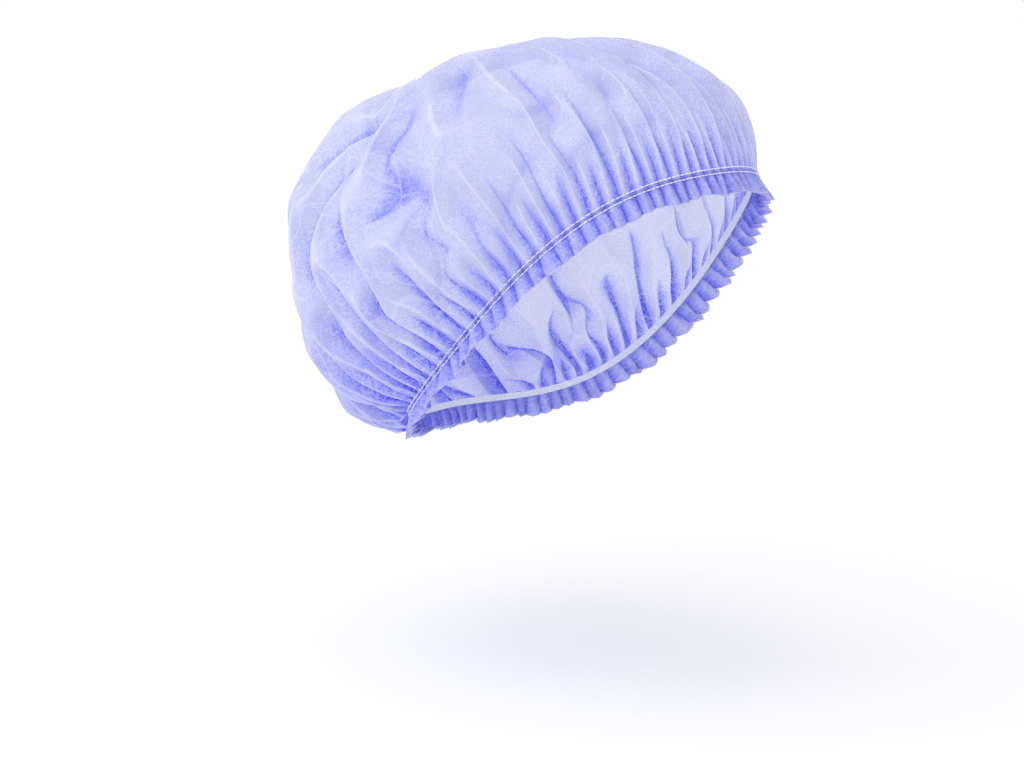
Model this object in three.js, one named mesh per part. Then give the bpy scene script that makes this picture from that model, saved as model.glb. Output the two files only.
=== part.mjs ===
// Disposable bouffant hairnet, in the shape that it has on a head.
//
// It is one round sheet of nonwoven, gathered onto a ring of flat elastic. What lies inside the
// ring puffs up into the crown, and what lies outside it stands out as a short ruffled hem.
//
// Frame: millimetres, +Z up as worn, -Y towards the forehead, -X towards the wearer's right.
// The origin is the centre of the elastic's ring, where the head goes in.

import * as THREE from "three";

// ---- Driving dimensions -------------------------------------------------------------------

const WALL = 1.0; // the crown's and the hem's wall
const SEAM_GAP = 0.3; // between crown and hem along the gathering line, and around the elastic
const PLEATS = 84; // gathers along the whole ring
const COLUMNS = 2 * PLEATS; // one column on each crest and one in each valley

// The elastic's ring seen from above: half lengths, and how much narrower it is at the forehead.
const RING = { front: 88, back: 90, side: 75, narrowing: 0.06 };
// Its height around the head, as the first terms of a Fourier series: high at the forehead, low at
// the nape, nearly straight over the ears.
const RING_HEIGHT = { mean: -8, tilt: 70, saddle: 4, arch: -6 };
// How far the head's surface leans back at the forehead and in at the nape, as a slope.
const HEAD_LEAN = 0.3;

const ELASTIC = { width: 3.2, thickness: 0.8 };
const HEM = { width: 11.5, flare: 3.0, ruffle: 2.6, rows: 2 };

// The crown's outer form: a rounded superellipsoid that leans back, measured from its own centre.
const BAG = {
  centre: new THREE.Vector3(0, 33, 14),
  side: 101,
  front: 132,
  back: 124,
  up: 101,
  down: 141,
  lean: THREE.MathUtils.degToRad(10),
  power: 2.25,
};
// The middle of the round sheet lies here: up and back, about as far from the ring all round.
const POLE_ELEVATION = THREE.MathUtils.degToRad(52);
const SWELL_SHARE = 0.3; // the crown has swollen out to its full form at this share of the way up

// The gathers are pinched at the ring and fullest just above it. Higher up, each pair of them
// merges into one wider pleat, which runs further up from the forehead than from the nape.
const PLEAT = { atRing: 1.3, most: 2.3, peakShare: 0.06, fadeShare: 0.34 };
const WIDE_PLEAT = { height: 1.9, forehead: 0.8, nape: 0.5 };
const GATHERED_ROWS = [0, 0.045, 0.12, 0.21]; // rows with every crest and valley, as shares
const SMOOTH_ROWS = 13; // rows above them, with every second column

// The crown's main folds. Each is a crest that runs over the crown's form through three
// directions, given in degrees of azimuth (0 forehead, 90 wearer's right, 180 nape) and elevation
// from the crown's centre. rise is its height and reach its half width, in millimetres.
const FOLDS = [
  // the wearer's right
  { az0: 95, el0: 58, az1: 101, el1: 20, az2: 80, el2: -22, rise: 11, reach: 20 },
  { az0: 136, el0: 7, az1: 110, el1: -8, az2: 82, el2: -27, rise: 10, reach: 16 },
  { az0: 85, el0: 18, az1: 88, el1: -14, az2: 60, el2: -6, rise: 9, reach: 17 },
  { az0: 87, el0: 33, az1: 64, el1: 22, az2: 45, el2: 10, rise: 7, reach: 15 },
  { az0: 61, el0: 44, az1: 57, el1: 24, az2: 42, el2: 15, rise: 6, reach: 14 },
  { az0: 133, el0: -29, az1: 110, el1: -31, az2: 92, el2: -35, rise: 7, reach: 12 },
  { az0: 118, el0: 34, az1: 128, el1: 14, az2: 140, el2: -12, rise: 9, reach: 18 },
  // the back
  { az0: 150, el0: 44, az1: 158, el1: 14, az2: 152, el2: -24, rise: 10, reach: 19 },
  { az0: 178, el0: 30, az1: 184, el1: -4, az2: 174, el2: -40, rise: 11, reach: 20 },
  { az0: 206, el0: 46, az1: 202, el1: 12, az2: 214, el2: -20, rise: 10, reach: 18 },
  { az0: 160, el0: -34, az1: 186, el1: -45, az2: 212, el2: -34, rise: 8, reach: 14 },
  // the wearer's left
  { az0: 262, el0: 56, az1: 254, el1: 22, az2: 276, el2: -20, rise: 11, reach: 20 },
  { az0: 228, el0: 10, az1: 246, el1: -8, az2: 272, el2: -28, rise: 10, reach: 17 },
  { az0: 283, el0: 22, az1: 276, el1: -4, az2: 300, el2: -4, rise: 9, reach: 17 },
  { az0: 276, el0: 40, az1: 296, el1: 26, az2: 314, el2: 12, rise: 7, reach: 15 },
  { az0: 238, el0: 38, az1: 230, el1: 18, az2: 236, el2: -8, rise: 8, reach: 17 },
  { az0: 226, el0: -30, az1: 248, el1: -32, az2: 266, el2: -35, rise: 7, reach: 12 },
];
const FACETS = { count: 90, scatter: 0.05, inset: 1.0 }; // flat facets on the sides and the back
const FOLD_STEPS = 8; // chords that stand for one fold's curve
const FOLD_TAPER = 0.3; // a fold rises over this share of its length, and falls again at its end
const FOLD_START_SHARE = 0.06; // the main folds grow in above the gathers,
const FOLD_FULL_SHARE = 0.3; // and have their full height from here on
const FOLD_SINK = 4; // how far the sheet between the crests lies inside the smooth form

// ---- The ring and the crown's form --------------------------------------------------------

const UP = new THREE.Vector3(0, 0, 1);
const X_AXIS = new THREE.Vector3(1, 0, 0);
const GOLDEN_ANGLE = Math.PI * (3 - Math.sqrt(5));

/** The gathering line at an angle around the head: 0 at the forehead, a quarter turn at the right. */
function ringPoint(angle) {
  const c = Math.cos(angle);
  const depth = c > 0 ? RING.front : RING.back;
  return new THREE.Vector3(
    -RING.side * Math.sin(angle) * (1 - RING.narrowing * c),
    -depth * c,
    RING_HEIGHT.mean +
      RING_HEIGHT.tilt * c +
      RING_HEIGHT.saddle * Math.cos(2 * angle) +
      RING_HEIGHT.arch * Math.cos(3 * angle),
  );
}

/** The ring's own axes at an angle: out from the head, and down along it towards the hem. */
function ringAxes(angle) {
  const step = 1e-3;
  const along = ringPoint(angle + step).sub(ringPoint(angle - step)).normalize();
  const out = new THREE.Vector3(along.y, -along.x, 0).normalize();
  if (out.dot(ringPoint(angle)) < 0) out.negate();
  out.addScaledVector(UP, HEAD_LEAN * Math.cos(angle));
  out.addScaledVector(along, -out.dot(along)).normalize();
  const down = new THREE.Vector3().crossVectors(along, out);
  if (down.z > 0) down.negate();
  return { out, down };
}

function direction(azimuth, elevation) {
  const a = THREE.MathUtils.degToRad(azimuth);
  const e = THREE.MathUtils.degToRad(elevation);
  return new THREE.Vector3(
    -Math.sin(a) * Math.cos(e),
    -Math.cos(a) * Math.cos(e),
    Math.sin(e),
  );
}

const POLE = new THREE.Vector3(0, Math.cos(POLE_ELEVATION), Math.sin(POLE_ELEVATION));

/** Each main fold's crest as a row of unit directions, on a curve through its three of them. */
const CRESTS = FOLDS.map((fold) => {
  const start = direction(fold.az0, fold.el0);
  const middle = direction(fold.az1, fold.el1);
  const end = direction(fold.az2, fold.el2);
  const line = Array.from({ length: FOLD_STEPS + 1 }, (_, i) => {
    const u = i / FOLD_STEPS;
    return new THREE.Vector3()
      .addScaledVector(start, (1 - u) * (1 - 2 * u))
      .addScaledVector(middle, 4 * u * (1 - u))
      .addScaledVector(end, u * (2 * u - 1))
      .normalize();
  });
  return { ...fold, line };
});

/** The nearest place on a crest: how far away it is, as an angle, and how far along, 0 to 1. */
function nearestOnCrest(dir, line) {
  const nearest = { angle: Infinity, along: 0 };
  const chord = new THREE.Line3();
  const foot = new THREE.Vector3();
  for (let i = 0; i + 1 < line.length; i++) {
    const share = chord.set(line[i], line[i + 1]).closestPointToPointParameter(dir, true);
    const angle = chord.at(share, foot).distanceTo(dir);
    if (angle < nearest.angle) {
      nearest.angle = angle;
      nearest.along = (i + share) / (line.length - 1);
    }
  }
  return nearest;
}

/** How far the main folds lift the crown in a direction. Each one tapers off at both its ends. */
function foldLift(dir, radius) {
  return CRESTS.reduce((lift, fold) => {
    const { angle, along } = nearestOnCrest(dir, fold.line);
    const share = 1 - (angle * radius) / fold.reach;
    const taper = Math.min(1, Math.min(along, 1 - along) / FOLD_TAPER);
    return share > 0 ? Math.max(lift, fold.rise * share * taper) : lift;
  }, 0);
}

/** A direction as the bag's own axes see it, and back again. */
const toBag = (v) => v.clone().applyAxisAngle(X_AXIS, BAG.lean);
const fromBag = (v) => v.clone().applyAxisAngle(X_AXIS, -BAG.lean);

/** The bag's half lengths on the side that a direction points to. */
function bagAxes(v) {
  return new THREE.Vector3(BAG.side, v.y < 0 ? BAG.front : BAG.back, v.z > 0 ? BAG.up : BAG.down);
}

/** The crown's smooth outer form: its distance from BAG.centre in a direction. */
function bagRadius(dir) {
  const v = toBag(dir).divide(bagAxes(toBag(dir)));
  const sum = v.toArray().reduce((total, x) => total + Math.abs(x) ** BAG.power, 0);
  return Math.pow(sum, -1 / BAG.power);
}

/** The plane that touches the smooth form in a direction. */
function tangentPlane(dir) {
  const v = toBag(dir);
  const axes = bagAxes(v).toArray();
  const slope = v.toArray().map((x, i) => {
    return (Math.sign(x) * Math.abs(x / axes[i]) ** (BAG.power - 1)) / axes[i];
  });
  const normal = fromBag(new THREE.Vector3(...slope)).normalize();
  return { normal, offset: normal.dot(dir) * bagRadius(dir) };
}

/** The stiff sheet creases into flat facets, which touch the smooth form at scattered places. */
const FACET_PLANES = Array.from({ length: FACETS.count }, (_, i) => {
  const height = 1 - (2 * i + 1) / FACETS.count + FACETS.scatter * Math.sin(7 * i);
  const z = THREE.MathUtils.clamp(height, -1, 1);
  const turn = i * GOLDEN_ANGLE + 3 * FACETS.scatter * Math.sin(11 * i);
  const r = Math.sqrt(1 - z * z);
  return tangentPlane(new THREE.Vector3(r * Math.cos(turn), r * Math.sin(turn), z));
});

/** The faceted form: its distance from BAG.centre in a direction. */
function facetedRadius(dir) {
  return FACET_PLANES.reduce((nearest, plane) => {
    const facing = plane.normal.dot(dir);
    return facing > 0.2 ? Math.min(nearest, plane.offset / facing) : nearest;
  }, Infinity);
}

/** The crown's outer surface without gathers: angle around the head, share of the way up. */
function crownForm(angle, share) {
  const start = ringPoint(angle).sub(BAG.centre);
  const ringRadius = start.length();
  const from = start.clone().normalize();
  const turn = from.angleTo(POLE);
  const dir = from
    .multiplyScalar(Math.sin((1 - share) * turn))
    .addScaledVector(POLE, Math.sin(share * turn))
    .divideScalar(Math.sin(turn));
  const swell = Math.min(share / SWELL_SHARE, 1);
  const swollen = Math.sqrt(1 - (1 - swell) ** 2);
  const bag = bagRadius(dir);
  const folded = THREE.MathUtils.smoothstep(share, FOLD_START_SHARE, FOLD_FULL_SHARE);
  const sides = THREE.MathUtils.smoothstep(dir.y, -0.95, -0.55); // the forehead stays smooth
  const folds = folded * (foldLift(dir, bag) - sides * FOLD_SINK);
  const faceted = folded * sides * (facetedRadius(dir) - bag - FACETS.inset);
  const radius = THREE.MathUtils.lerp(ringRadius, bag, swollen) + folds + faceted;
  return dir.multiplyScalar(radius).add(BAG.centre);
}

/** The gathers' height at a share of the way up. */
function pleatHeight(share) {
  if (share < PLEAT.peakShare) {
    return THREE.MathUtils.lerp(PLEAT.atRing, PLEAT.most, share / PLEAT.peakShare);
  }
  const left = 1 - (share - PLEAT.peakShare) / (PLEAT.fadeShare - PLEAT.peakShare);
  return PLEAT.most * Math.max(0, left);
}

/** The height of the wide pleats that the gathers merge into. */
function widePleatHeight(share, angle) {
  const towardsForehead = (1 + Math.cos(angle)) / 2;
  const end = THREE.MathUtils.lerp(WIDE_PLEAT.nape, WIDE_PLEAT.forehead, towardsForehead);
  return WIDE_PLEAT.height * Math.max(0, 1 - share / end);
}

// ---- Solids from rows of points -----------------------------------------------------------

/** Triangles between two closed rows, the upper with as many points as the lower or half as many. */
function joinRows(lower, upper, faces) {
  const n = upper.count;
  for (let j = 0; j < n; j++) {
    const k = (j + 1) % n;
    const [u0, u1] = [upper.start + j, upper.start + k];
    if (lower.count === n) {
      const [l0, l1] = [lower.start + j, lower.start + k];
      faces.push([l0, u1, l1], [l0, u0, u1]);
    } else {
      const [l0, l1, l2] = [2 * j, 2 * j + 1, (2 * j + 2) % lower.count].map((i) => lower.start + i);
      faces.push([l0, u0, l1], [l1, u0, u1], [l1, u1, l2]);
    }
  }
}

/** A wall of even thickness behind an open surface of closed rows, with an optional closing tip. */
function thicken(rows, tip, thickness) {
  const points = rows.flat();
  let start = 0;
  const spans = rows.map((row) => {
    const span = { start, count: row.length };
    start += row.length;
    return span;
  });
  const faces = [];
  for (let i = 0; i + 1 < spans.length; i++) joinRows(spans[i], spans[i + 1], faces);
  if (tip) {
    const last = spans[spans.length - 1];
    for (let j = 0; j < last.count; j++) {
      faces.push([last.start + j, points.length, last.start + ((j + 1) % last.count)]);
    }
    points.push(tip);
  }

  const outer = new THREE.BufferGeometry().setFromPoints(points);
  outer.setIndex(faces.flat());
  outer.computeVertexNormals();
  const normals = outer.getAttribute("normal");
  const inner = points.map((p, i) =>
    p.clone().addScaledVector(new THREE.Vector3().fromBufferAttribute(normals, i), -thickness),
  );

  const n = points.length;
  const all = faces.concat(faces.map(([a, b, c]) => [n + a, n + c, n + b]));
  const rims = tip ? [[spans[0], false]] : [[spans[0], false], [spans[spans.length - 1], true]];
  for (const [span, isUpper] of rims) {
    for (let j = 0; j < span.count; j++) {
      const a = span.start + j;
      const b = span.start + ((j + 1) % span.count);
      const [p, q] = isUpper ? [b, a] : [a, b];
      all.push([p, q, n + q], [p, n + q, n + p]);
    }
  }
  return new THREE.BufferGeometry().setFromPoints(points.concat(inner)).setIndex(all.flat());
}

function mesh(name, geometry, material) {
  geometry.computeVertexNormals();
  const made = new THREE.Mesh(geometry, material);
  made.name = name;
  return made;
}

// ---- The pieces ---------------------------------------------------------------------------

const columnAngle = (column) => (2 * Math.PI * column) / COLUMNS;
const crestSign = (index) => (index % 2 === 0 ? 1 : -1);

/** The puffed crown: one thin gathered sheet, hollow, open at the ring. */
function crown(material) {
  const gathered = GATHERED_ROWS.map((share) =>
    Array.from({ length: COLUMNS }, (_, column) => {
      const angle = columnAngle(column);
      const { out, down } = ringAxes(angle);
      return crownForm(angle, share)
        .addScaledVector(out, crestSign(column) * pleatHeight(share))
        .addScaledVector(down, share === 0 ? -SEAM_GAP / 2 : 0);
    }),
  );
  const first = GATHERED_ROWS[GATHERED_ROWS.length - 1];
  const smooth = Array.from({ length: SMOOTH_ROWS }, (_, row) => {
    const share = THREE.MathUtils.lerp(first, 1, (row + 1) / (SMOOTH_ROWS + 1));
    return Array.from({ length: PLEATS }, (_, pleat) => {
      const angle = columnAngle(2 * pleat);
      const point = crownForm(angle, share);
      const outwards = point.clone().sub(BAG.centre).normalize();
      return point.addScaledVector(outwards, crestSign(pleat) * widePleatHeight(share, angle));
    });
  });
  const tip = crownForm(0, 1);
  return mesh("crown", thicken([...gathered, ...smooth], tip, WALL), material);
}

/** The ruffled hem below the elastic: it flares, and its waves grow towards its free edge. */
function hemFrill(material) {
  const rows = Array.from({ length: HEM.rows + 1 }, (_, row) => {
    const share = 1 - row / HEM.rows; // 1 at the free edge, 0 at the gathering line
    const wave = THREE.MathUtils.lerp(PLEAT.atRing, HEM.ruffle, share);
    return Array.from({ length: COLUMNS }, (_, column) => {
      const angle = columnAngle(column);
      const { out, down } = ringAxes(angle);
      return ringPoint(angle)
        .addScaledVector(down, SEAM_GAP / 2 + share * HEM.width)
        .addScaledVector(out, crestSign(column) * wave + HEM.flare * share ** 2);
    });
  });
  return mesh("hem_frill", thicken(rows, null, WALL), material);
}

/** The flat elastic, against the head inside the gathers. */
function elasticBand(material) {
  const depth = -(PLEAT.atRing + WALL + SEAM_GAP); // its outer face, clear of the valleys
  const rows = [1, -1].map((side) =>
    Array.from({ length: PLEATS }, (_, i) => {
      const angle = (2 * Math.PI * i) / PLEATS;
      const { out, down } = ringAxes(angle);
      return ringPoint(angle)
        .addScaledVector(out, depth)
        .addScaledVector(down, (side * ELASTIC.width) / 2);
    }),
  );
  return mesh("elastic_band", thicken(rows, null, ELASTIC.thickness), material);
}

const hairnet = new THREE.Group();
hairnet.name = "hairnet";
hairnet.add(
  crown(new THREE.MeshStandardMaterial({ color: 0xb4b8f2, roughness: 0.85, metalness: 0 })),
  hemFrill(new THREE.MeshStandardMaterial({ color: 0x8f96f2, roughness: 0.85, metalness: 0 })),
  elasticBand(new THREE.MeshStandardMaterial({ color: 0xeef0fb, roughness: 0.7, metalness: 0 })),
);

export default hairnet;
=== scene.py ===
"""Looks of the disposable hairnet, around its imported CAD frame. Metres, +Z up, forehead towards -Y.

The crown is one round sheet of nonwoven. It starts as the frame's crown, gathered onto the ring,
and settle(), a small cloth solver, then finds where the sheet's real, larger area goes.
"""

import math

import bpy
import numpy as np
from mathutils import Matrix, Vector


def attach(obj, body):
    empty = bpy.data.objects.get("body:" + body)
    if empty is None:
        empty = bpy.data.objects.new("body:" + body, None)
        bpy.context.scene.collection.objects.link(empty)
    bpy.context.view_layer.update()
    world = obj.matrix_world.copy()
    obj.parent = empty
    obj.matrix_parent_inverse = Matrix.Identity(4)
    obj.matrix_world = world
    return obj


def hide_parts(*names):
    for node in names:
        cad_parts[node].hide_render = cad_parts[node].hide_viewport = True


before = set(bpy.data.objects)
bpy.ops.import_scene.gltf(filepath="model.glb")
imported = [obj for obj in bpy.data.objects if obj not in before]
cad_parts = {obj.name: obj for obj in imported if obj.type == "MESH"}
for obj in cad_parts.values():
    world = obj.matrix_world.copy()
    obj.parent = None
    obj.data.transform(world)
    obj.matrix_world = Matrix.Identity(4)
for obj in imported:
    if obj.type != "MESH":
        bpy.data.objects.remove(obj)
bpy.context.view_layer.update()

MM = 0.001

# ---- Driving dimensions -------------------------------------------------------------------

SHEET_RADIUS = 267 * MM  # the round sheet, laid flat
HEM_WIDTH = 11.5 * MM  # what lies outside the gathering line
SEWN_RADIUS = SHEET_RADIUS - HEM_WIDTH

# The gathering line, which follows the elastic round the head: its half lengths and its height.
RING = {"front": 88 * MM, "back": 90 * MM, "side": 75 * MM, "narrowing": 0.06}
RING_HEIGHT = {"mean": -8 * MM, "tilt": 70 * MM, "saddle": 4 * MM, "arch": -6 * MM}
HEAD_LEAN = 0.3  # how far the head's surface leans from upright at the forehead and the nape

# The puffed crown: a leaning bag's half lengths in mm, and how square its section is. A share is
# how far up the sheet a place is, from 0 on the gathering line to 1 at the pole.
BAG_CENTRE = np.array([0, 33, 14]) * MM
BAG = {"side": 101, "front": 132, "back": 124, "up": 101, "down": 141}
BAG_LEAN = math.radians(10)
BAG_POWER = 2.25
POLE_ELEVATION = math.radians(52)
SEWN_SHARE = 0.018  # up to here, the stitches and the elastic hold the sheet flat
SWELL_SHARE = 0.3  # from here on, the crown has its full width
FOLDED_SHARES = (0.06, 0.3)  # where the main folds and the facets begin, and where they are full

# The main folds, as in the frame: azimuth and elevation at start, middle and end, rise, reach.
FOLDS = [
    # the wearer's right
    (95, 58, 101, 20, 80, -22, 11, 20),
    (136, 7, 110, -8, 82, -27, 10, 16),
    (85, 18, 88, -14, 60, -6, 9, 17),
    (87, 33, 64, 22, 45, 10, 7, 15),
    (61, 44, 57, 24, 42, 15, 6, 14),
    (133, -29, 110, -31, 92, -35, 7, 12),
    (118, 34, 128, 14, 140, -12, 9, 18),
    # the back
    (150, 44, 158, 14, 152, -24, 10, 19),
    (178, 30, 184, -4, 174, -40, 11, 20),
    (206, 46, 202, 12, 214, -20, 10, 18),
    (160, -34, 186, -45, 212, -34, 8, 14),
    # the wearer's left
    (262, 56, 254, 22, 276, -20, 11, 20),
    (228, 10, 246, -8, 272, -28, 10, 17),
    (283, 22, 276, -4, 300, -4, 9, 17),
    (276, 40, 296, 26, 314, 12, 7, 15),
    (238, 38, 230, 18, 236, -8, 8, 17),
    (226, -30, 248, -32, 266, -35, 7, 12),
]
FOLD_STEPS = 8  # chords that a crest is measured along
FOLD_TAPER = 0.3  # the share of its length over which a fold dies away at each end
FOLD_SINK = 4 * MM  # how far the sheet sinks between the folds

# Flat facets: how many, how unevenly they are scattered, how far inside the smooth form they lie,
# and the least that one faces a direction (as a cosine) to be met in it.
FACETS = {"count": 90, "scatter": 0.05, "inset": 1 * MM, "least_facing": 0.2}

# Gathers: waves around the ring. Each row is a count, the share of the way up where that size of
# gather starts, where it is fullest, and where it has run out at the back and at the forehead.
PLEATS = 84
GATHERS = [
    (PLEATS, -0.2, 0.0, 0.22, 0.5),
    (PLEATS // 2, 0.02, 0.14, 0.42, 0.85),
    (PLEATS // 4, 0.1, 0.28, 0.55, 1.1),
]
GATHER_RISE = 0.7  # the share of its full height that a gather rises to
GATHER_CALM = 0.25  # how much less that is over the forehead
RING_WAVE = 0.9 * MM  # the gathers' height where the stitches pinch them
CRUMPLE = {"waves": 30, "shortest": 34 * MM, "longest": 80 * MM, "height": 3.6 * MM}
CRUMPLE_SEED = 3
CRUMPLED_SHARES = (0.12, 0.35)  # where the dents begin, and where they are full

# The crown's mesh: rows of points round the flat sheet, from the gathering line to its middle.
COLUMNS_AT_RING = 6 * PLEATS
FINEST_COLUMN = 2.2 * MM  # narrower columns are halved in number
ROW_STEP = 3.3 * MM  # on the gathering line
ROW_WIDENING = 0.5  # how much wider than that it is in the middle
INNERMOST_ROW = 3 * MM

HEM_COLUMNS = 12  # for each pleat
HEM_ROWS = 9
HEM_WAVE = 2.8 * MM  # how far the ruffles swing in and out at the free edge
HEM_LOBE = 0.6 * MM  # how far they lean over sideways
HEM_FLARE = 4.5 * MM  # how far the free edge stands out
HEM_SCALLOP = 1.8 * MM  # how much higher the edge is between two ruffles
HEM_THICKNESS = 0.45 * MM
ELASTIC = {"width": 3.2 * MM, "thickness": 0.8 * MM, "out": -2.0 * MM}
RIBS = {"count": 4, "relief": 0.16 * MM}  # on each face of the elastic
STITCHES = 236  # in each row
STITCH_SHARE = 0.92  # how much of its spacing a stitch takes up
STITCH_GAP = 2.3 * MM  # between the two rows
THREAD = 0.6 * MM  # its diameter

# Linear colours of the nonwoven: single, in a few layers, in many, and its fibres.
PALE = (0.66, 0.68, 0.93, 1)
PALE_GREY = (0.58, 0.6, 0.81, 1)
# The two deeper blues below also colour the painted shade, and the fibres' colour the painted
# highlights.
MID = (0.31, 0.34, 0.95, 1)
DEEP = (0.09, 0.11, 0.86, 1)
FIBRE_AND_HIGHLIGHT = (0.86, 0.87, 0.98, 1)

# The stage: where the key light comes from, its strength and width, and the room's light.
KEY_FROM = (-0.7, 0.15, 1.0)
KEY_LIGHT = 1.75
KEY_WIDTH = math.radians(85)
ROOM_LIGHT = 0.55
FLOOR_HEIGHT = -197 * MM
CAMERA = {"azimuth": -47, "elevation": 7, "distance": 1.1, "lens": 80.4, "shift": (-0.0713, -0.0923)}

# The cloth. SOFT is how far each kind of pair may give, and BAND how far a point may move in and
# out from the crown's form, how firmly it is held there, and how much closer at the top.
SOFT = {"edge": 0.0, "diagonal": 0.5, "bend": 10.0}
BAND = {"in": 11 * MM, "out": 4 * MM, "grip": 0.5, "crown": 0.6}
BAND_OPEN_SHARE = 0.12  # the band opens from nothing on the gathering line to its full width here
TOP_SHARES = (0.4, 0.75)  # where the band starts to close, and where it has closed, towards the top
JITTER = 0.3 * MM  # what starts the buckling
CLOTH_SEED = 7
STEPS = 800
GROWING = 0.6  # the share of the steps in which the cloth grows to its real size
DRAG = 0.98  # the share of its speed that a point keeps from one step to the next
SLACK = {"sides": 0.85, "forehead": 0.3}  # share of the sheet's spare width that shows as folds

# Creasing, before and after the mesh is refined: rounds of evening out the faces' normals, rounds
# of moving the points after them, and how alike two normals are to be evened out.
CREASE_COARSE = {"normal_rounds": 8, "point_rounds": 6, "spread": 0.3}
CREASE_FINE = {"normal_rounds": 30, "point_rounds": 14, "spread": 0.25}

POLE_SHARES = (0.86, 0.95)  # where the sheet is evened out, round the pole
POLE_ROUNDS = 30

# How the sheet's relief is measured: against how many rounds of evening out, and what counts as
# full. A valley lies inwards of what is round it, a ridge outwards.
RELIEF = {"valley": (120, 4 * MM, -1), "ridge": (4, 0.3 * MM, 1)}


# ---- The ring and the crown's form ---------------------------------------------------------


def unit(v):
    return v / np.linalg.norm(v, axis=-1, keepdims=True)


def smoothstep(x, low, high):
    """Rises from 0 at low to 1 at high, and so falls with x where high is the smaller one."""
    s = np.clip((x - low) / (high - low), 0, 1)
    return s * s * (3 - 2 * s)


def ring_point(angle):
    """The gathering line at an angle round the head: 0 forehead, a quarter turn wearer's right."""
    c = np.cos(angle)
    depth = np.where(c > 0, RING["front"], RING["back"])
    height = (
        RING_HEIGHT["mean"]
        + RING_HEIGHT["tilt"] * c
        + RING_HEIGHT["saddle"] * np.cos(2 * angle)
        + RING_HEIGHT["arch"] * np.cos(3 * angle)
    )
    x = -RING["side"] * np.sin(angle) * (1 - RING["narrowing"] * c)
    return np.stack([x, -depth * c, height], axis=-1)


def ring_axes(angle):
    """Along the ring, out from the head, and down along it towards the hem."""
    along = unit(ring_point(angle + 1e-3) - ring_point(angle - 1e-3))
    out = unit(np.stack([along[..., 1], -along[..., 0], 0 * along[..., 0]], axis=-1))
    out = out * np.sign((out * ring_point(angle)).sum(-1, keepdims=True))
    out[..., 2] += HEAD_LEAN * np.cos(angle)
    out = unit(out - along * (out * along).sum(-1, keepdims=True))
    down = np.cross(along, out)
    down = down * -np.sign(down[..., 2:3])
    return along, out, down


def direction(azimuth, elevation):
    a = np.radians(azimuth)
    e = np.radians(elevation)
    return np.array([-np.sin(a) * np.cos(e), -np.cos(a) * np.cos(e), np.sin(e)])


def crest_line(fold):
    """A main fold's crest, as unit directions from the bag's centre."""
    start, middle, end = (direction(*fold[i : i + 2]) for i in (0, 2, 4))
    u = np.linspace(0, 1, FOLD_STEPS + 1)[:, None]
    return unit((1 - u) * (1 - 2 * u) * start + 4 * u * (1 - u) * middle + u * (2 * u - 1) * end)


def fold_lift(dirs, radius):
    """How far the main folds lift the sheet in each direction."""
    lift = np.zeros(len(dirs))
    for fold in FOLDS:
        line = crest_line(fold)
        nearest = np.full(len(dirs), np.inf)
        along = np.zeros(len(dirs))
        for i in range(FOLD_STEPS):
            chord = line[i + 1] - line[i]
            share = np.clip((dirs - line[i]) @ chord / (chord @ chord), 0, 1)
            far = np.linalg.norm(dirs - line[i] - share[:, None] * chord, axis=1)
            closer = far < nearest
            nearest = np.where(closer, far, nearest)
            along = np.where(closer, (i + share) / FOLD_STEPS, along)
        rise, reach = fold[6] * MM, fold[7] * MM
        taper = np.clip(np.minimum(along, 1 - along) / FOLD_TAPER, 0, 1)
        lift = np.maximum(lift, rise * taper * (1 - nearest * radius / reach))
    return lift


def lean_to_bag(v, turn=1):
    """Directions as the leaning bag's own axes see them; turn -1 brings them back."""
    c, d = math.cos(BAG_LEAN), turn * math.sin(BAG_LEAN)
    return np.stack([v[:, 0], v[:, 1] * c - v[:, 2] * d, v[:, 1] * d + v[:, 2] * c], axis=1)


def bag_axes(v):
    """The bag's half lengths on the side that each direction points to."""
    depth = np.where(v[:, 1] < 0, BAG["front"], BAG["back"])
    height = np.where(v[:, 2] > 0, BAG["up"], BAG["down"])
    return np.stack([np.full(len(v), float(BAG["side"])), depth, height], axis=1) * MM


def bag_radius(dirs):
    """The crown's smooth outer form: its distance from BAG_CENTRE in each direction."""
    v = lean_to_bag(dirs)
    return (np.abs(v / bag_axes(v)) ** BAG_POWER).sum(axis=1) ** (-1 / BAG_POWER)


def faceted_radius(dirs):
    """The same form creased into flat facets, which touch it at scattered places."""
    i = np.arange(FACETS["count"])
    z = 1 - (2 * i + 1) / FACETS["count"] + FACETS["scatter"] * np.sin(7 * i)
    z = np.clip(z, -1, 1)
    turn = i * math.pi * (3 - math.sqrt(5)) + 3 * FACETS["scatter"] * np.sin(11 * i)
    r = np.sqrt(1 - z * z)
    touch = np.stack([r * np.cos(turn), r * np.sin(turn), z], axis=1)
    v = lean_to_bag(touch)
    slope = np.sign(v) * np.abs(v / bag_axes(v)) ** (BAG_POWER - 1) / bag_axes(v)
    normals = unit(lean_to_bag(slope, -1))
    offsets = (normals * touch).sum(axis=1) * bag_radius(touch)
    facing = dirs @ normals.T
    least = FACETS["least_facing"]
    return np.where(facing > least, offsets / np.maximum(facing, least), np.inf).min(axis=1)


def calm_top(dirs):
    """1 round the sides, less on top, where the sheet lies smooth."""
    return 1 - 0.65 * smoothstep(dirs[:, 2], 0.5, 0.9)


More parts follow.
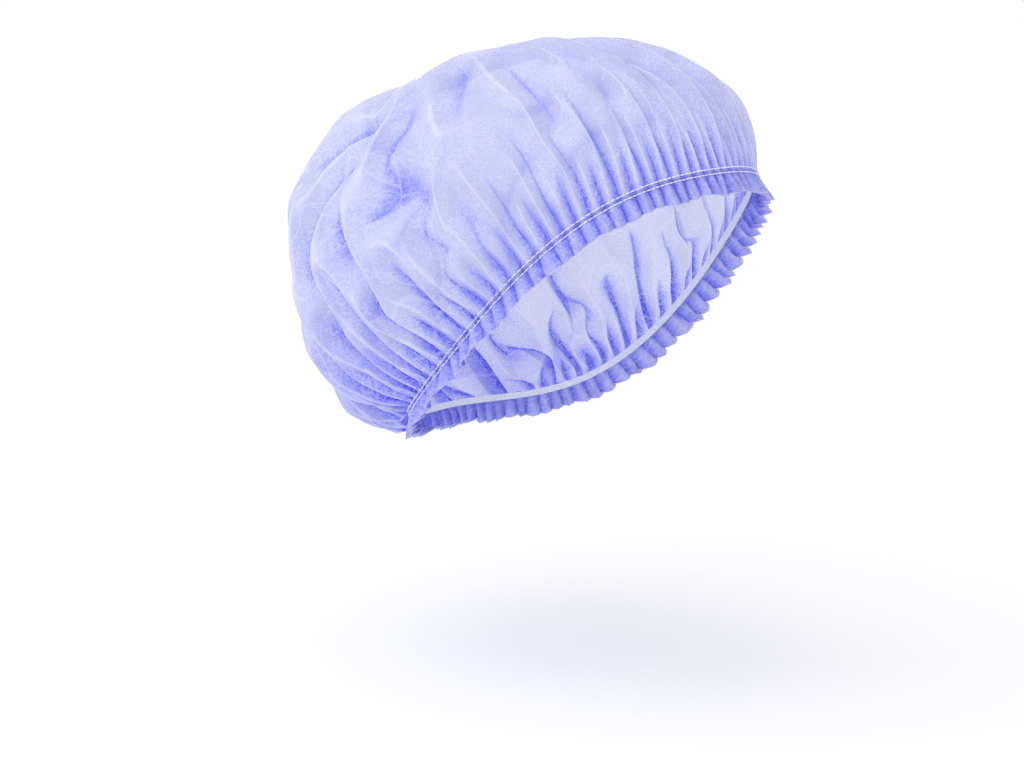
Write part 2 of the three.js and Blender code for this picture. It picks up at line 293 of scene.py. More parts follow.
def crown_form(angle, share):
    """Points of the crown's form and the directions they lie in from the bag's centre."""
    start = ring_point(angle) - BAG_CENTRE
    ring_radius = np.linalg.norm(start, axis=1)
    from_dir = start / ring_radius[:, None]
    pole = np.array([0, math.cos(POLE_ELEVATION), math.sin(POLE_ELEVATION)])
    turn = np.arccos(np.clip(from_dir @ pole, -1, 1))
    low = np.sin((1 - share) * turn) / np.sin(turn)
    high = np.sin(share * turn) / np.sin(turn)
    dirs = unit(low[:, None] * from_dir + high[:, None] * pole)
    bag = bag_radius(dirs)
    risen = np.clip((share - SEWN_SHARE) / (SWELL_SHARE - SEWN_SHARE), 0, 1)
    nape = smoothstep(-np.cos(angle), 0.72, 1.0)
    swollen = np.sin(math.pi / 2 * risen) * (1 - nape) + np.sqrt(1 - (1 - risen) ** 2) * nape
    sides = smoothstep(dirs[:, 1], -0.95, -0.55) * calm_top(dirs)
    folded = smoothstep(share, *FOLDED_SHARES)
    folds = folded * (fold_lift(dirs, bag) - sides * FOLD_SINK)
    faceted = folded * sides * (faceted_radius(dirs) - bag - FACETS["inset"])
    radius = ring_radius * (1 - swollen) + bag * swollen + folds + faceted
    return BAG_CENTRE + dirs * radius[:, None], dirs


# ---- Meshes --------------------------------------------------------------------------------


def mesh_object(name, points, faces):
    mesh = bpy.data.meshes.new(name)
    mesh.from_pydata([tuple(p) for p in points], [], faces)
    mesh.validate()
    mesh.polygons.foreach_set("use_smooth", [True] * len(mesh.polygons))
    obj = bpy.data.objects.new(name, mesh)
    bpy.context.scene.collection.objects.link(obj)
    return obj


def add_value(obj, name, values):
    """A number on every point, for the materials."""
    attribute = obj.data.attributes.new(name, "FLOAT", "POINT")
    attribute.data.foreach_set("value", np.asarray(values, dtype=np.float32))


def add_flat_map(obj, flat):
    """Where each point lies on the flat sheet, in metres, for the cloth's fibres."""
    corners = np.empty(len(obj.data.loops), dtype=np.int32)
    obj.data.loops.foreach_get("vertex_index", corners)
    layer = obj.data.uv_layers.new(name="flat")
    layer.data.foreach_set("uv", flat[corners, :2].astype(np.float32).ravel())


def points_of(obj):
    points = np.empty(3 * len(obj.data.vertices))
    obj.data.vertices.foreach_get("co", points)
    return points.reshape(-1, 3)


def put_points(obj, points):
    obj.data.vertices.foreach_set("co", points.ravel())
    obj.data.update()


def refine(obj):
    """One subdivision, applied."""
    modifier = obj.modifiers.new("Subdivision", "SUBSURF")
    modifier.levels = modifier.render_levels = 1
    depsgraph = bpy.context.evaluated_depsgraph_get()
    finer = bpy.data.meshes.new_from_object(obj.evaluated_get(depsgraph))
    obj.modifiers.remove(modifier)
    obj.data = finer


def sheet_rows():
    """The flat sheet inside the gathering line: a list of (radius, columns), from the ring inwards."""
    rows = []
    radius, columns = SEWN_RADIUS, COLUMNS_AT_RING
    while radius > INNERMOST_ROW:
        rows.append((radius, columns))
        if 2 * math.pi * radius / columns < FINEST_COLUMN and columns % 2 == 0:
            columns //= 2
        radius -= ROW_STEP * (1 + ROW_WIDENING * (1 - radius / SEWN_RADIUS))
    return rows


def sheet_faces(rows):
    """Quads between the rows, five-sided where the columns halve, and a fan at the middle."""
    faces = []
    start = 0
    for (_, count), (_, upper) in zip(rows, rows[1:]):
        above = start + count
        ratio = count // upper
        for j in range(upper):
            k = (j + 1) % upper
            lower = [start + (ratio * j + i) % count for i in range(ratio + 1)]
            faces.append([*reversed(lower), above + j, above + k])
        start = above
    last = rows[-1][1]
    faces += [[start + (j + 1) % last, start + j, start + last] for j in range(last)]
    return faces


def forehead_share(dirs):
    """1 over the forehead and the front of the dome, 0 at the sides and the back."""
    return smoothstep(0.35 * dirs[:, 2] - dirs[:, 1], 0.05, 0.7)


def drift(angle, row=0, share=0.0):
    """How far the gathers wander from an even spacing, in each row of GATHERS, as a phase."""
    return 0.5 * np.sin(5 * angle + row) + 0.3 * np.sin(13 * angle + 2 * row + share * 4 * row)


def ring_wave(angle):
    """The gathers on the gathering line itself, from -1 in a valley to 1 on a crest."""
    return np.sin(PLEATS * angle + drift(angle))


def gather_waves(angle, share, forehead, form_girth, flat_girth):
    """How far the gathers push the sheet in or out, so that they take up its real girth."""
    slope = np.sqrt(np.maximum((flat_girth / form_girth) ** 2 - 1, 0))
    height = np.zeros(len(angle))
    for i, (count, low, peak, high_back, high_front) in enumerate(GATHERS):
        high = high_back + (high_front - high_back) * forehead
        weight = smoothstep(share, low, peak) * (1 - smoothstep(share, peak, high))
        wave = 2 / np.pi * np.arcsin(0.98 * np.sin(count * angle + drift(angle, i, share)))
        height += weight * wave * slope * form_girth / (4 * count)
    return height * (GATHER_RISE - GATHER_CALM * forehead)


def crumple(points):
    """Uneven dents where many waves cross, which the cloth's larger folds grow from."""
    rng = np.random.default_rng(CRUMPLE_SEED)
    height = np.zeros(len(points))
    for _ in range(CRUMPLE["waves"]):
        way = unit(rng.normal(size=3))
        length = rng.uniform(CRUMPLE["shortest"], CRUMPLE["longest"])
        height += np.sin(points @ way * 2 * math.pi / length + rng.uniform(0, 2 * math.pi))
    return height * CRUMPLE["height"] / math.sqrt(CRUMPLE["waves"] / 2)


def crown_mesh():
    """The crown as the frame has it, gathered. Returns its cloth too: what settle() needs."""
    rows = sheet_rows()
    angle = np.concatenate([np.arange(n) * 2 * math.pi / n for _, n in rows])
    radius = np.concatenate([np.full(n, r) for r, n in rows])
    share = 1 - radius / SEWN_RADIUS
    points, dirs = crown_form(angle, share)
    forehead = forehead_share(dirs)
    slack = SLACK["sides"] + (SLACK["forehead"] - SLACK["sides"]) * forehead
    girth = []
    start = 0
    for _, n in rows:
        row = points[start : start + n]
        girth += [np.linalg.norm(row - np.roll(row, 1, axis=0), axis=1).sum()] * n
        start += n
    waves = gather_waves(angle, share, forehead, np.array(girth), 2 * math.pi * radius)
    _, out, _ = ring_axes(angle)
    lean = smoothstep(share, 0, 0.1)[:, None]
    normal = unit((1 - lean) * out + lean * dirs)
    pinch = smoothstep(share, SEWN_SHARE, 0.06)
    waves = waves * pinch + RING_WAVE * ring_wave(angle) * (1 - pinch)
    waves += (
        crumple(points)
        * calm_top(dirs)
        * (1 - forehead)
        * smoothstep(share, *CRUMPLED_SHARES)
    )
    points = points + normal * waves[:, None]
    tip, _ = crown_form(np.array([0.0]), np.array([1.0]))
    flat = np.stack([-radius * np.sin(angle), -radius * np.cos(angle), 0 * radius], axis=-1)
    obj = mesh_object("crown_sheet", np.vstack([points, tip]), sheet_faces(rows))
    add_flat_map(obj, np.vstack([flat, [[0, 0, 0]]]))
    add_value(obj, "share", np.append(share, 1.0))
    add_value(obj, "forehead", np.append(forehead, 0))
    # where the crown faces down, which the material darkens as painted shade
    add_value(obj, "nape", np.append(smoothstep(-dirs[:, 2], 0.15, 0.75), 0))
    # the pleats' valleys near the ring, which the material darkens as painted shade
    add_value(obj, "pleat", np.append(-ring_wave(angle) * smoothstep(share, 0.15, 0.02), 0))
    cloth = {
        "rows": rows,
        "flat": np.vstack([flat, [[0, 0, 0]]]),
        "share": np.append(share, 1.0),
        "slack": np.append(slack, SLACK["sides"]),
    }
    return obj, cloth


# ---- The cloth ------------------------------------------------------------------------------


def springs(obj, rows, flat):
    """Pairs of points that keep their distance on the flat sheet, and how softly: edges and
    diagonals hold the cloth, and pairs two steps apart keep it from creasing too sharply."""
    edges = {tuple(sorted(edge.vertices)) for edge in obj.data.edges}
    diagonals = set()
    for face in obj.data.polygons:
        v = list(face.vertices)
        if len(v) >= 4:
            diagonals |= {tuple(sorted((v[0], v[2]))), tuple(sorted((v[1], v[3])))}
    starts = np.cumsum([0] + [n for _, n in rows])
    around, across = [], []
    for start, (_, n) in zip(starts, rows):
        j = np.arange(n)
        around += list(zip(start + j, start + (j + 2) % n))
    for k in range(len(rows) - 2):
        n, m = rows[k][1], rows[k + 2][1]
        j = np.arange(m)
        across += list(zip(starts[k] + j * (n // m), starts[k + 2] + j))
    pairs = np.array(sorted(edges) + sorted(diagonals - edges) + around + across)
    soft = np.concatenate(
        [
            np.full(len(edges), SOFT["edge"]),
            np.full(len(diagonals - edges), SOFT["diagonal"]),
            np.full(len(around) + len(across), SOFT["bend"]),
        ]
    )
    rest = np.linalg.norm(flat[pairs[:, 0]] - flat[pairs[:, 1]], axis=1)
    return pairs, rest, soft


def independent_sets(pairs, count):
    """Splits the pairs into sets in which no point comes twice, so each set moves at once."""
    used = [0] * count
    colour = np.empty(len(pairs), dtype=int)
    for index, (a, b) in enumerate(pairs.tolist()):
        taken = used[a] | used[b]
        free = ~taken & (taken + 1)
        colour[index] = free.bit_length() - 1
        used[a] |= free
        used[b] |= free
    return [np.nonzero(colour == c)[0] for c in range(colour.max() + 1)]


def settle(points, pairs, rest, soft, share, slack):
    """Position-based cloth: the pairs grow to their lengths on the flat sheet, and the sheet
    buckles, while every point stays within a band about the crown's form."""
    rng = np.random.default_rng(CLOTH_SEED)
    free = (share > SEWN_SHARE).astype(float)
    points = points + rng.normal(0, JITTER, points.shape) * free[:, None]
    sewn = points[free == 0]
    begun = np.linalg.norm(points[pairs[:, 0]] - points[pairs[:, 1]], axis=1)
    spare = (rest - begun) * np.where(rest > begun, slack[pairs].mean(axis=1), 1)
    batches = []
    for members in independent_sets(pairs, len(points)):
        a, b = pairs[members].T
        total = free[a] + free[b] + soft[members]
        keep = free[a] + free[b] > 0
        a, b, members, total = a[keep], b[keep], members[keep], total[keep]
        give_a = (free[a] / total)[:, None]
        give_b = (free[b] / total)[:, None]
        batches.append((a, b, begun[members], spare[members], give_a, give_b))
    home = np.linalg.norm(points - BAG_CENTRE, axis=1)
    loose = smoothstep(share, 0, BAND_OPEN_SHARE) * slack / SLACK["sides"]
    loose *= 1 - BAND["crown"] * smoothstep(share, *TOP_SHARES)
    lowest = home - BAND["in"] * loose
    highest = home + BAND["out"] * loose
    before = points.copy()
    for step in range(STEPS):
        grown = min(1, (step + 1) / (GROWING * STEPS))
        glide = (points - before) * DRAG
        before = points.copy()
        points = points + glide * free[:, None]
        for a, b, short, extra, give_a, give_b in batches:
            pa = points[a]
            pb = points[b]
            gap = pa - pb
            length = np.sqrt(np.einsum("ij,ij->i", gap, gap))
            gap *= (1 - (short + extra * grown) / length)[:, None]
            points[a] = pa - gap * give_a
            points[b] = pb + gap * give_b
        arm = points - BAG_CENTRE
        reach = np.sqrt(np.einsum("ij,ij->i", arm, arm))
        kept = np.clip(reach, lowest, highest)
        points = BAG_CENTRE + arm * (1 + BAND["grip"] * (kept / reach - 1))[:, None]
        points[free == 0] = sewn
    return points


def face_normals(points, corners):
    """Normals, with each face's area as their length, of faces with up to five corners."""
    first = points[corners]
    second = points[np.roll(corners, -1, axis=1)]
    return np.cross(first, second).sum(axis=1) / 2


def crease(obj, fixed, normal_rounds, point_rounds, spread):
    """Turns soft rolls into flat facets between crisp ridges, as stiff nonwoven creases: the
    normals of like-facing neighbours are evened out, and the points then follow them."""
    points = points_of(obj)
    polygons = [list(p.vertices) for p in obj.data.polygons]
    most = max(len(p) for p in polygons)
    corners = np.array([p + [p[-1]] * (most - len(p)) for p in polygons])
    by_edge = {}
    for index, p in enumerate(polygons):
        for a, b in zip(p, p[1:] + p[:1]):
            by_edge.setdefault((min(a, b), max(a, b)), []).append(index)
    near = np.array([f for f in by_edge.values() if len(f) == 2])
    near = np.vstack([near, near[:, ::-1]])
    normals = face_normals(points, corners)
    areas = np.linalg.norm(normals, axis=1)
    normals = normals / areas[:, None]
    for _ in range(normal_rounds):
        apart = normals[near[:, 0]] - normals[near[:, 1]]
        alike = np.exp(-np.einsum("ij,ij->i", apart, apart) / (2 * spread**2))
        pull = (alike * areas[near[:, 1]])[:, None] * normals[near[:, 1]]
        total = [np.bincount(near[:, 0], pull[:, k], len(corners)) for k in range(3)]
        normals = unit(normals * areas[:, None] + np.stack(total, axis=1))
    touching = np.bincount(corners.ravel(), minlength=len(points))[:, None]
    for _ in range(point_rounds):
        away = points[corners].mean(axis=1)[:, None, :] - points[corners]
        step = (away * normals[:, None, :]).sum(axis=2)[..., None] * normals[:, None, :]
        moved = [
            np.bincount(corners.ravel(), step[..., k].ravel(), len(points)) for k in range(3)
        ]
        points = points + np.stack(moved, axis=1) / touching * ~fixed[:, None]
    put_points(obj, points)


def evened(values, edges, rounds):
    """Values at points, averaged with their neighbours' a number of times."""
    ends = np.vstack([edges, edges[:, ::-1]])
    count = np.bincount(ends[:, 0], minlength=len(values))[:, None]
    for _ in range(rounds):
        total = [np.bincount(ends[:, 0], values[ends[:, 1], k], len(values)) for k in range(3)]
        values = (values + np.stack(total, axis=1) / count) / 2
    return values


def mark_relief(obj):
    """Stores how deep each point lies in a broad valley and how high on a narrow ridge, from
    -1 to 1."""
    points = points_of(obj)
    edges = np.array([e.vertices[:] for e in obj.data.edges])
    normals = np.empty(3 * len(points))
    obj.data.vertices.foreach_get("normal", normals)
    normals = normals.reshape(-1, 3)
    # The material paints shade into the valleys and the narrow creases, and highlights onto the
    # ridges.
    for name, (rounds, size, sign) in RELIEF.items():
        out = ((points - evened(points, edges, rounds)) * normals).sum(axis=1)
        add_value(obj, name, sign * np.clip(out / size, -1, 1))


def calm_pole(obj, share):
    """Evens out the few points round the pole, where the cloth would pinch."""
    edges = np.array([e.vertices[:] for e in obj.data.edges])
    calm = smoothstep(share, *POLE_SHARES)[:, None]
    points = points_of(obj)
    put_points(obj, points * (1 - calm) + evened(points, edges, POLE_ROUNDS) * calm)


def shape_crown(obj, cloth):
    """Turns the gathered form into the finished crown."""
    share = cloth["share"]
    pairs, rest, soft = springs(obj, cloth["rows"], cloth["flat"])
    put_points(obj, settle(points_of(obj), pairs, rest, soft, share, cloth["slack"]))
    calm_pole(obj, share)
    crease(obj, share <= SEWN_SHARE, **CREASE_COARSE)
    refine(obj)
    share = np.empty(len(obj.data.vertices))
    obj.data.attributes["share"].data.foreach_get("value", share)
    crease(obj, share <= SEWN_SHARE, **CREASE_FINE)
    mark_relief(obj)


# ---- The hem, the elastic and the stitches --------------------------------------------------


def around_ring(angle, down, out, along=0.0):
    """Points beside the gathering line: so far down from it, out from the head and along it."""
    axis_along, axis_out, axis_down = ring_axes(angle)
    shift = [np.broadcast_to(x, angle.shape)[..., None] for x in (down, out, along)]
    return ring_point(angle) + axis_down * shift[0] + axis_out * shift[1] + axis_along * shift[2]


def grid_faces(rows, columns, closed_rows=False):
    """Quads of a grid whose columns run round the ring."""
    faces = []
    for i in range(rows if closed_rows else rows - 1):
        low, high = i * columns, (i + 1) % rows * columns
        faces += [
            [low + j, low + (j + 1) % columns, high + (j + 1) % columns, high + j]
            for j in range(columns)
        ]
    return faces


def hem_mesh():
    """The sheet's edge, folded double and gathered: each ruffle opens into a rounded lobe."""
    columns = HEM_COLUMNS * PLEATS
    rows = HEM_ROWS
    angle, v = np.meshgrid(
        np.arange(columns) * 2 * math.pi / columns, np.linspace(0, 1, rows)
    )
    phase = PLEATS * angle + drift(angle)
    phase += v * (0.7 * np.sin(29 * angle + 2) + 0.5 * np.sin(47 * angle))
    uneven = 1 + 0.25 * np.sin(31 * angle + 1) + 0.2 * np.sin(53 * angle)
    height = RING_WAVE + (HEM_WAVE - RING_WAVE) * smoothstep(v, -0.15, 0.9) * uneven
    rounded = 2 * np.abs(np.cos(phase / 2 - math.pi / 4)) ** 0.8 - 1
    opened = smoothstep(v, 0, 0.4)
    wave = np.sin(phase) * (1 - opened) + rounded * opened
    lobe = HEM_LOBE * v * np.sin(2 * phase + 0.4) * uneven
    curl = HEM_FLARE * v**1.4 * (1 + 0.3 * np.sin(23 * angle + 2))
    forward = np.cos(angle)
    curl *= 0.1 + 0.9 * smoothstep(forward, -0.95, -0.4) - 0.6 * smoothstep(forward, 0.4, 0.9)
    drop = HEM_WIDTH * v * (1 + 0.06 * np.sin(19 * angle)) - HEM_SCALLOP * v * (1 - wave) / 2
    points = around_ring(angle, drop, height * wave + curl, lobe)
    obj = mesh_object("hem_ruffle", points.reshape(-1, 3), grid_faces(rows, columns))
    girth = 2 * math.pi * (SEWN_RADIUS + HEM_WIDTH * v)
    flat = np.stack([angle * girth / (2 * math.pi), SEWN_RADIUS + HEM_WIDTH * v], axis=-1)
    add_flat_map(obj, flat.reshape(-1, 2))
    # between the ruffles, which the material darkens as painted shade
    add_value(obj, "valley", (-wave * (0.6 + 0.4 * v)).ravel())
    # across the hem, for a painted highlight along its free edge
    add_value(obj, "edge", v.ravel())
    solid = obj.modifiers.new("double", "SOLIDIFY")
    solid.thickness = HEM_THICKNESS
    solid.offset = 0
    return obj


def elastic_mesh():
    """The flat elastic against the head: a strip with ribs along its outer and inner face."""
    columns = 4 * PLEATS
    width, thick = ELASTIC["width"], ELASTIC["thickness"]
    ribs = np.linspace(-0.5, 0.5, 4 * RIBS["count"] + 1)
    relief = RIBS["relief"] * np.cos(2 * math.pi * RIBS["count"] * ribs)
    section = [(u * width, thick / 2 + r) for u, r in zip(ribs, relief)]
    section += [(u * width, -thick / 2 - r) for u, r in zip(ribs[::-1], relief[::-1])]
    angle = np.arange(columns) * 2 * math.pi / columns
    rows = [around_ring(angle, down, ELASTIC["out"] + out) for down, out in section]
    faces = grid_faces(len(section), columns, closed_rows=True)
    return mesh_object("elastic_strip", np.vstack(rows), faces)


def stitch_row(name, down):
    """A row of needle thread: one bowed stitch after another, riding on the gathers' crests."""
    count = STITCHES
    sides, steps = 6, 6
    points, faces = [], []
    for i in range(count):
        u = np.linspace(0, 1, steps)
        angle = (i + (1 - STITCH_SHARE) / 2 + STITCH_SHARE * u) * 2 * math.pi / count
        bow = np.sin(math.pi * u)
        out = RING_WAVE * (0.9 + 0.25 * ring_wave(angle)) + (0.35 + 0.3 * bow) * MM
        radius = THREAD / 2 * (0.45 + 0.55 * np.sqrt(bow))
        _, axis_out, axis_down = ring_axes(angle)
        centre = around_ring(angle, down, out)
        start = len(points) * sides
        for c, r, o, d in zip(centre, radius, axis_out, axis_down):
            turn = np.arange(sides)[:, None] * 2 * math.pi / sides
            points.append(c + r * (np.cos(turn) * o + np.sin(turn) * d))
        for k in range(steps - 1):
            low = start + k * sides
            faces += [
                [low + j, low + (j + 1) % sides, low + sides + (j + 1) % sides, low + sides + j]
                for j in range(sides)
            ]
        faces.append([start + j for j in reversed(range(sides))])
        faces.append([start + (steps - 1) * sides + j for j in range(sides)])
    return mesh_object(name, np.vstack(points), faces)


# ---- Materials -----------------------------------------------------------------------------


class Nodes:
    """A material's node tree, built one node at a time."""

    def __init__(self, name):
        self.material = bpy.data.materials.new(name)
        self.material.use_nodes = True
        self.tree = self.material.node_tree
        self.tree.nodes.clear()

    def add(self, kind, inputs=(), output=0, **settings):
        """One node. inputs maps a socket to a value or to another node's output."""
        node = self.tree.nodes.new("ShaderNode" + kind)
        for name, value in settings.items():
            setattr(node, name, value)
        for socket, value in dict(inputs).items():
            if isinstance(value, bpy.types.NodeSocket):
                self.tree.links.new(value, node.inputs[socket])
            else:
                node.inputs[socket].default_value = value
        return node.outputs[output]

    def math(self, operation, a, b=0.0, clamp=False):
        return self.add("Math", {0: a, 1: b}, operation=operation, use_clamp=clamp)

    def value(self, name):
        return self.add("Attribute", output=2, attribute_name=name)

    def ramp(self, value, low, high, to_low=0.0, to_high=1.0):
        inputs = {0: value, 1: low, 2: high, 3: to_low, 4: to_high}
        return self.add("MapRange", inputs, interpolation_type="SMOOTHSTEP")

    def mix(self, share, a, b):
        node = self.tree.nodes.new("ShaderNodeMix")
        node.data_type = "RGBA"
        for socket, value in ((node.inputs[0], share), (node.inputs[6], a), (node.inputs[7], b)):
            if isinstance(value, bpy.types.NodeSocket):
                self.tree.links.new(value, socket)
            else:
                socket.default_value = value
        return node.outputs[2]

    def finish(self, surface):
        output = self.tree.nodes.new("ShaderNodeOutputMaterial")
        self.tree.links.new(surface, output.inputs["Surface"])
        return self.material


def curls(nodes, place, size, width):
    """Thin curly lines: where a warped, smooth noise passes through its middle value."""
    warp = nodes.add("TexNoise", {"Vector": place, "Scale": 0.6 / size, "Detail": 1.0}, output=1)
    shift = nodes.add("VectorMath", {0: warp, 1: (0.5, 0.5, 0.5)}, operation="SUBTRACT")
    shift = nodes.add("VectorMath", {0: shift, "Scale": 1.6 * size}, operation="SCALE")
    bent = nodes.add("VectorMath", {0: place, 1: shift}, operation="ADD")
    noise = nodes.add("TexNoise", {"Vector": bent, "Scale": 1 / size, "Detail": 1.0})
    away = nodes.math("ABSOLUTE", nodes.math("SUBTRACT", noise, 0.5))
    return nodes.ramp(away, 0.0, width, 1.0, 0.0)


def painted_facet_light(nodes, place):
    """Painted facet shading and painted crease highlights: each cell a slightly different tone,
    between thin pale crease lines, which the pull over the forehead smooths out."""
    bend = nodes.add("TexNoise", {"Vector": place, "Scale": 1 / (60 * MM)}, output=1)
    bend = nodes.add("VectorMath", {0: bend, "Scale": 40 * MM}, operation="SCALE")
    bent = nodes.add("VectorMath", {0: place, 1: bend}, operation="ADD")
    cells = {"Vector": bent, "Scale": 1 / (36 * MM)}
    # painted facet shading: each cell a slightly different tone
    facet_shade = nodes.math("SUBTRACT", nodes.add("TexVoronoi", cells, output=1), 0.5)
    away = nodes.add("TexVoronoi", cells, feature="DISTANCE_TO_EDGE")
    loose = nodes.ramp(nodes.value("forehead"), 0.1, 0.6, 1.0, 0.0)
    facet_shade = nodes.math("MULTIPLY", facet_shade, nodes.math("MULTIPLY", loose, 0.35))
    # painted highlight: thin pale lines along the cells' edges
    line = nodes.math("MULTIPLY", nodes.ramp(away, 0.0, 0.025, 0.5, 0.0), loose)
    return facet_shade, line


def crown_layers_and_painted_light(n, place):
    """How deep the single sheet's colour is, from 0 to 1: deeper near the gathers, with painted shade
    in valleys, pleats, creases and where it faces down; and how pale: painted highlights on ridges and
    crease lines, painted light over the forehead.
    """
    # painted shade: deeper colour in the broad valleys of the folds
    valley = n.ramp(n.value("valley"), -0.1, 1.0, 0.0, 0.6)
    gathered = n.ramp(n.value("share"), 0.0, 0.13, 0.42, 0.0)
    # painted shade in the pleats' valleys near the ring
    pleat = n.math("MULTIPLY", n.value("pleat"), 0.4)
    # painted shade: deeper colour where the crown faces down
    nape = n.math("MULTIPLY", n.value("nape"), 0.3)
    # painted shade in the narrow creases
    painted_crease_shade = n.ramp(n.value("ridge"), -0.9, -0.15, 0.2, 0.0)
    deep = n.math("ADD", n.math("ADD", valley, gathered), n.math("ADD", pleat, nape))
    deep = n.math("ADD", deep, painted_crease_shade, clamp=True)
    # painted facet shading and painted crease highlights
    facet_shade, line = painted_facet_light(n, place)
    deep = n.math("ADD", deep, facet_shade, clamp=True)
    # painted highlight on the narrow ridges and along the crease lines
    ridge = n.math("MAXIMUM", n.ramp(n.value("ridge"), 0.12, 0.8, 0.0, 0.75), line)
    # painted light: paler over the forehead, as where a lit white head would show through the sheer
    # cloth
    painted_head_light = n.ramp(n.value("forehead"), 0.4, 1.0, 0.0, 0.1)
    return deep, n.math("MAXIMUM", ridge, painted_head_light)


def hem_layers_and_painted_light(n):
    """The same for the double, ruffled hem: painted shade between the ruffles, a painted highlight
    along the free edge.
    """
    # painted shade between the ruffles
    deep = n.ramp(n.value("valley"), -0.9, 1.0, 0.2, 0.85)
    # painted highlight along the free edge
    return deep, n.ramp(n.value("edge"), 0.92, 1.0, 0.0, 0.7)


def nonwoven(name, layers):
    """Spunbond nonwoven: curly pale fibres in a thin violet-blue web that light passes through.
    Where it lies in several layers, near the gathers and in the double hem, it is deeper; its darker
    valleys, pleats and creases are painted shade, its pale ridges, crease lines and hem edge painted
    highlights."""
    n = Nodes(name)
    place = n.add("UVMap", uv_map="flat")
    fibres = n.math("MAXIMUM", curls(n, place, 4.2 * MM, 0.04), curls(n, place, 2.9 * MM, 0.06))
    cloud = n.add("TexNoise", {"Vector": place, "Scale": 1 / (22 * MM), "Detail": 2.0})
    cloud = n.ramp(cloud, 0.3, 0.7)
    fibres = n.math("MULTIPLY", fibres, n.ramp(cloud, 0.0, 1.0, 0.6, 1.0))
    web = n.add("TexNoise", {"Vector": place, "Scale": 1 / (0.9 * MM), "Detail": 2.0})

    # deep: layers and painted shade; ridge: painted highlights, and painted light over the forehead
    deep, ridge = crown_layers_and_painted_light(n, place) if layers == 1 else hem_layers_and_painted_light(n)
    deep = n.math("ADD", deep, n.ramp(web, 0.2, 0.8, -0.08, 0.08), clamp=True)

    pale = n.mix(cloud, PALE_GREY, PALE)
    colour = n.mix(n.ramp(deep, 0.0, 0.5), pale, MID)
    colour = n.mix(n.ramp(deep, 0.45, 1.0), colour, DEEP)
    # the pale fibres, and the painted highlights
    light = n.math("MAXIMUM", n.math("MULTIPLY", fibres, 0.6), ridge)
    colour = n.mix(light, colour, FIBRE_AND_HIGHLIGHT)

    # more opaque where the colour is deep, painted shade included, and where it is pale
    cover = n.math("ADD", n.ramp(deep, 0.0, 0.9, 0.72, 0.95), n.math("MULTIPLY", light, 0.2))
    cover = n.math("ADD", cover, n.ramp(web, 0.3, 0.7, -0.06, 0.06), clamp=True)

    relief = n.math("ADD", n.math("MULTIPLY", fibres, 0.6), web)
    bump = n.add("Bump", {"Height": relief, "Strength": 0.35, "Distance": 0.12 * MM})
    front = n.add(
        "BsdfPrincipled",
        {
            "Base Color": colour,
            "Roughness": 0.75,
            "Specular IOR Level": 0.25,
            "Sheen Weight": 0.25,
            "Sheen Roughness": 0.4,
            "Normal": bump,
        },
    )
    through = n.add("BsdfTranslucent", {"Color": colour, "Normal": bump})
    cloth = n.add("MixShader", {0: 0.42, 1: front, 2: through})
    clear = n.add("BsdfTransparent", {"Color": (0.93, 0.94, 1.0, 1)})
    return n.finish(n.add("MixShader", {0: cover, 1: clear, 2: cloth}))


def thread():
    """White polyester thread, with its twist as fine slanting ribs."""
    n = Nodes("thread_white")
    place = n.add("TexCoord", output=3)
    twist = n.add("TexNoise", {"Vector": place, "Scale": 2600.0, "Detail": 2.0})
    bump = n.add("Bump", {"Height": twist, "Strength": 0.4, "Distance": 0.05 * MM})
    colour = n.mix(n.ramp(twist, 0.3, 0.7), (0.78, 0.8, 0.93, 1), (0.93, 0.94, 0.99, 1))
    inputs = {"Base Color": colour, "Roughness": 0.55, "Sheen Weight": 0.2, "Normal": bump}
    return n.finish(n.add("BsdfPrincipled", inputs))


def knitted_elastic():
    """Off-white knitted elastic: short cross ribs between its rubber strands."""
    n = Nodes("elastic_white")
    place = n.add("TexCoord", output=3)
    yarn = n.add("TexNoise", {"Vector": place, "Scale": 1500.0, "Detail": 3.0})
    bump = n.add("Bump", {"Height": yarn, "Strength": 0.5, "Distance": 0.1 * MM})
    colour = n.mix(n.ramp(yarn, 0.3, 0.7), (0.66, 0.68, 0.82, 1), (0.86, 0.87, 0.94, 1))
    inputs = {"Base Color": colour, "Roughness": 0.8, "Sheen Weight": 0.15, "Normal": bump}
    return n.finish(n.add("BsdfPrincipled", inputs))


# ---- The stage -----------------------------------------------------------------------------


def floor(z):
    """A plain white floor under the cap, wide enough to have no edge in view."""
    bpy.ops.mesh.primitive_plane_add(size=60, location=(0, 0, z))
    obj = bpy.context.object
    obj.name = "floor"
    n = Nodes("floor_white")
    inputs = {"Base Color": (0.97, 0.97, 0.97, 1), "Roughness": 0.9, "Specular IOR Level": 0.1}
    obj.data.materials.append(n.finish(n.add("BsdfPrincipled", inputs)))


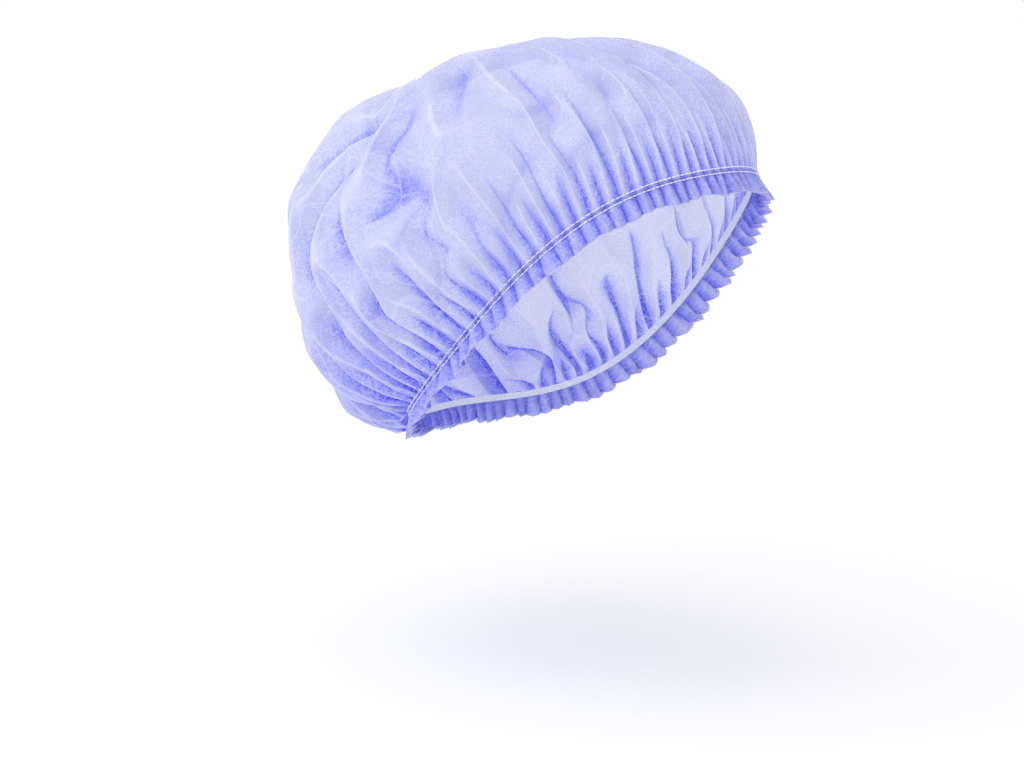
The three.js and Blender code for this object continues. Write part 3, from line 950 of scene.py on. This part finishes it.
def lighting():
    """A white sweep at the height of the eye, a dimmer room above it, and one broad soft light."""
    world = bpy.data.worlds.new("studio")
    world.use_nodes = True
    tree = world.node_tree
    view = tree.nodes.new("ShaderNodeTexCoord")
    split = tree.nodes.new("ShaderNodeSeparateXYZ")
    room = tree.nodes.new("ShaderNodeMapRange")
    room.interpolation_type = "SMOOTHSTEP"
    for socket, value in zip(room.inputs[1:5], (0.3, 0.6, 1.0, ROOM_LIGHT)):
        socket.default_value = value
    tree.links.new(view.outputs["Generated"], split.inputs[0])
    tree.links.new(split.outputs["Z"], room.inputs[0])
    tree.links.new(room.outputs[0], tree.nodes["Background"].inputs[1])
    tree.nodes["Background"].inputs[0].default_value = (1, 1, 1, 1)
    bpy.context.scene.world = world
    data = bpy.data.lights.new("key", "SUN")
    data.angle = KEY_WIDTH
    data.energy = KEY_LIGHT
    key = bpy.data.objects.new("key", data)
    key.rotation_euler = Vector(KEY_FROM).to_track_quat("Z", "Y").to_euler()
    bpy.context.scene.collection.objects.link(key)


def camera():
    """A long lens in front of the wearer's right side, a little above, aimed at the origin."""
    azimuth = math.radians(CAMERA["azimuth"])
    elevation = math.radians(CAMERA["elevation"])
    data = bpy.data.cameras.new("camera")
    data.sensor_width = 36
    data.lens = CAMERA["lens"]
    data.shift_x, data.shift_y = CAMERA["shift"]
    obj = bpy.data.objects.new("camera", data)
    back = Vector(
        (
            math.sin(azimuth) * math.cos(elevation),
            -math.cos(azimuth) * math.cos(elevation),
            math.sin(elevation),
        )
    )
    obj.location = back * CAMERA["distance"]
    obj.rotation_euler = back.to_track_quat("Z", "Y").to_euler()
    bpy.context.scene.collection.objects.link(obj)
    bpy.context.scene.camera = obj


# ---- The scene -----------------------------------------------------------------------------


def place_piece(obj, material, slot, *nodes):
    """One finished piece, which rides on the root and stands in for the frame's nodes named."""
    obj.data.materials.append(material)
    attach(obj, "root")
    if nodes:
        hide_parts(*nodes)
    return obj


bpy.context.scene.view_settings.view_transform = "Standard"

crown, crown_cloth = crown_mesh()
shape_crown(crown, crown_cloth)
place_piece(crown, nonwoven("nonwoven_single", 1), "crown_nonwoven", "crown")
hem = place_piece(hem_mesh(), nonwoven("nonwoven_double", 2), "hem_nonwoven", "hem_frill")
elastic = place_piece(elastic_mesh(), knitted_elastic(), "elastic", "elastic_band")
white = thread()
stitches = [
    place_piece(stitch_row(name, down), white, "elastic")
    for name, down in (("stitches_upper", -STITCH_GAP / 2), ("stitches_lower", STITCH_GAP / 2))
]

floor(FLOOR_HEIGHT)
lighting()
camera()
